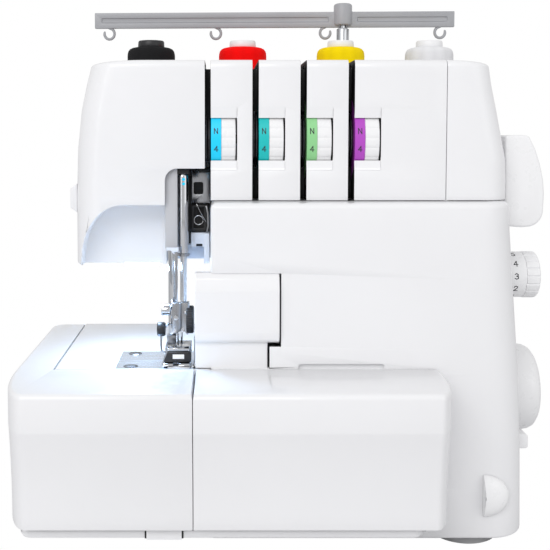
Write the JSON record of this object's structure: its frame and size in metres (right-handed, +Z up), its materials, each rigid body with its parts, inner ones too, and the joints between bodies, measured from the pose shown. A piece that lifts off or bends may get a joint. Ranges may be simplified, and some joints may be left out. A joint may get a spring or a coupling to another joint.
{
  "type": "serger overlock machine",
  "caption": "White four-thread overlock sewing machine with free arm, tension dials, side controls, thread spools and a telescopic thread guide.",
  "frame": {"origin": "middle of the footprint on the table", "axes": "+X to the machine's right, +Y towards its back, +Z up"},
  "size_m": [0.34, 0.288, 0.3603],
  "materials": {
    "white_shell": "satin white moulded shell",
    "white_control": "satin white control",
    "grey_base": "fine matte grey",
    "grey_plastic": "matte mid grey moulding",
    "dark_plastic": "matte black",
    "belt_rubber": "toothed rubber belt",
    "foot_rubber": "grey rubber foot",
    "steel": "ground steel",
    "brushed_plate": "brushed steel plate",
    "cast_frame": "plain casting",
    "chrome": "polished chrome",
    "lamp_lens": "frosted lamp lens",
    "dial_cyan": "satin cyan",
    "dial_teal": "satin teal",
    "dial_green": "satin light green",
    "dial_purple": "satin purple",
    "thread_black": "wound thread",
    "thread_red": "wound thread",
    "thread_yellow": "wound thread",
    "thread_white": "wound thread"
  },
  "bodies": {
    "machine": {"free_arm": "white_shell", "front_housing": "white_shell", "rear_housing": "white_shell", "tension_panel": "white_shell", "right_end_cap": "white_shell", "face_cover": "white_shell", "thread_cutter": "white_control", "knife_guard": "white_shell", "spool_stand": "white_shell", "base_plate": "grey_base", "bed_floor": "grey_base", "power_inlet": "dark_plastic", "drive_belt": "belt_rubber", "foot_front_left": "foot_rubber", "foot_front_right": "foot_rubber", "foot_rear_left": "foot_rubber", "foot_rear_right": "foot_rubber", "motor": "steel", "head_frame": "steel", "lower_knife": "steel", "plate_screw_1": "steel", "plate_screw_2": "steel", "needle_plate": "brushed_plate", "frame_casting": "cast_frame", "needle_bar_guide": "chrome", "pole_outer": "chrome", "tension_disc_stack": "chrome", "lamp": "lamp_lens"},
    "extension": {"left_extension": "white_shell"},
    "hinge_bar": {"cover_hinge_bar": "steel"},
    "looper_cover": {"looper_cover": "white_shell"},
    "latch": {"cover_latch": "white_control"},
    "dial_1": {"tension_dial_1": "dial_cyan"},
    "dial_2": {"tension_dial_2": "dial_teal"},
    "dial_3": {"tension_dial_3": "dial_green"},
    "dial_4": {"tension_dial_4": "dial_purple"},
    "feed_lever": {"differential_lever": "white_control"},
    "length_dial": {"stitch_length_dial": "white_control"},
    "hand_drive": {"handwheel": "white_control", "main_shaft": "steel"},
    "motor_drive": {"motor_pulley": "steel"},
    "switch": {"power_switch": "white_control"},
    "needle_unit": {"needle_bar": "chrome", "needle_clamp": "steel", "needle_left": "chrome", "needle_right": "chrome"},
    "knife": {"upper_knife": "steel"},
    "looper_upper": {"upper_looper": "chrome"},
    "looper_lower": {"lower_looper": "chrome"},
    "feed": {"feed_dog": "steel"},
    "presser": {"presser_bar": "chrome", "presser_foot": "steel"},
    "lifter": {"presser_lifter": "steel"},
    "spool_1": {"thread_spool_1": "thread_black"},
    "spool_2": {"thread_spool_2": "thread_red"},
    "spool_3": {"thread_spool_3": "thread_yellow"},
    "spool_4": {"thread_spool_4": "thread_white"},
    "pole_stage_1": {"pole_middle": "chrome"},
    "pole_stage_2": {"pole_inner": "chrome"},
    "antenna": {"antenna_bar": "grey_plastic"}
  },
  "joints": [
    {"name": "extension_slide", "type": "slide", "parent": "machine", "child": "extension", "axis": [-1, 0, 0], "range_m": [0, 0.11]},
    {"name": "cover_slide", "type": "slide", "parent": "machine", "child": "hinge_bar", "axis": [1, 0, 0], "range_m": [0, 0.008]},
    {"name": "cover_hinge", "type": "hinge", "parent": "hinge_bar", "child": "looper_cover", "pos_m": [0.008, -0.1315, 0.037], "axis": [1, 0, 0], "range_deg": [0, 88]},
    {"name": "latch_slide", "type": "slide", "parent": "machine", "child": "latch", "axis": [1, 0, 0], "range_m": [0, 0.005], "stiffness_N_per_m": 300},
    {"name": "dial_1_turn", "type": "hinge", "parent": "machine", "child": "dial_1", "pos_m": [-0.0446, -0.0433, 0.25], "axis": [1, 0, 0], "range_deg": [-130, 150]},
    {"name": "dial_2_turn", "type": "hinge", "parent": "machine", "child": "dial_2", "pos_m": [-0.015, -0.0433, 0.25], "axis": [1, 0, 0], "range_deg": [-130, 150]},
    {"name": "dial_3_turn", "type": "hinge", "parent": "machine", "child": "dial_3", "pos_m": [0.0146, -0.0433, 0.25], "axis": [1, 0, 0], "range_deg": [-130, 150]},
    {"name": "dial_4_turn", "type": "hinge", "parent": "machine", "child": "dial_4", "pos_m": [0.0442, -0.0433, 0.25], "axis": [1, 0, 0], "range_deg": [-130, 150]},
    {"name": "feed_lever_turn", "type": "hinge", "parent": "machine", "child": "feed_lever", "pos_m": [0.142, -0.04, 0.21], "axis": [1, 0, 0], "range_deg": [-25, 25]},
    {"name": "length_dial_turn", "type": "hinge", "parent": "machine", "child": "length_dial", "pos_m": [0.15, -0.032, 0.1607], "axis": [1, 0, 0], "range_deg": [-120, 120]},
    {"name": "handwheel_spin", "type": "hinge", "parent": "machine", "child": "hand_drive", "pos_m": [0.15, -0.004, 0.0782], "axis": [1, 0, 0], "continuous": true},
    {"name": "motor_spin", "type": "hinge", "parent": "machine", "child": "motor_drive", "pos_m": [0.104, 0.034, 0.052], "axis": [1, 0, 0], "continuous": true},
    {"name": "switch_rock", "type": "hinge", "parent": "machine", "child": "switch", "pos_m": [0.1416, -0.054, 0.0545], "axis": [0, 1, 0], "range_deg": [0, 8]},
    {"name": "needle_slide", "type": "slide", "parent": "machine", "child": "needle_unit", "axis": [0, 0, 1], "range_m": [-0.001, 0.024]},
    {"name": "knife_slide", "type": "slide", "parent": "machine", "child": "knife", "axis": [0, 0, 1], "range_m": [-0.001, 0.006]},
    {"name": "upper_looper_swing", "type": "hinge", "parent": "machine", "child": "looper_upper", "pos_m": [-0.056, -0.0648, 0.072], "axis": [0, 1, 0], "range_deg": [-1, 9]},
    {"name": "lower_looper_swing", "type": "hinge", "parent": "machine", "child": "looper_lower", "pos_m": [-0.086, -0.0528, 0.072], "axis": [0, 1, 0], "range_deg": [-1, 13]},
    {"name": "feed_slide", "type": "slide", "parent": "machine", "child": "feed", "axis": [0, 1, 0], "range_m": [-0.001, 0.002]},
    {"name": "lifter_turn", "type": "hinge", "parent": "machine", "child": "lifter", "pos_m": [-0.094, 0.06, 0.197], "axis": [1, 0, 0], "range_deg": [-1, 31]},
    {"name": "presser_slide", "type": "slide", "parent": "machine", "child": "presser", "axis": [0, 0, 1], "range_m": [0, 0.006]},
    {"name": "spool_1_spin", "type": "hinge", "parent": "machine", "child": "spool_1", "pos_m": [-0.1004, 0.103, 0.275], "axis": [0, 0, 1], "continuous": true},
    {"name": "spool_2_spin", "type": "hinge", "parent": "machine", "child": "spool_2", "pos_m": [-0.0277, 0.103, 0.275], "axis": [0, 0, 1], "continuous": true},
    {"name": "spool_3_spin", "type": "hinge", "parent": "machine", "child": "spool_3", "pos_m": [0.0502, 0.103, 0.275], "axis": [0, 0, 1], "continuous": true},
    {"name": "spool_4_spin", "type": "hinge", "parent": "machine", "child": "spool_4", "pos_m": [0.1207, 0.103, 0.275], "axis": [0, 0, 1], "continuous": true},
    {"name": "pole_lower_slide", "type": "slide", "parent": "machine", "child": "pole_stage_1", "axis": [0, 0, 1], "range_m": [0, 0.1]},
    {"name": "pole_upper_slide", "type": "slide", "parent": "pole_stage_1", "child": "pole_stage_2", "axis": [0, 0, 1], "range_m": [0, 0.085]},
    {"name": "antenna_turn", "type": "hinge", "parent": "pole_stage_2", "child": "antenna", "pos_m": [0.0558, 0.133, 0.35], "axis": [0, 0, 1], "range_deg": [-20, 20]}
  ],
  "couplings": [
    {"joint": "motor_spin", "follows": "handwheel_spin", "ratio": 3.3684},
    {"joint": "knife_slide", "follows": "needle_slide", "ratio": 0.25},
    {"joint": "upper_looper_swing", "follows": "needle_slide", "rad_per_m": 5.8178},
    {"joint": "lower_looper_swing", "follows": "needle_slide", "rad_per_m": 8.7266},
    {"joint": "feed_slide", "follows": "needle_slide", "ratio": 0.08},
    {"joint": "lifter_turn", "follows": "presser_slide", "rad_per_m": 87.266}
  ]
}
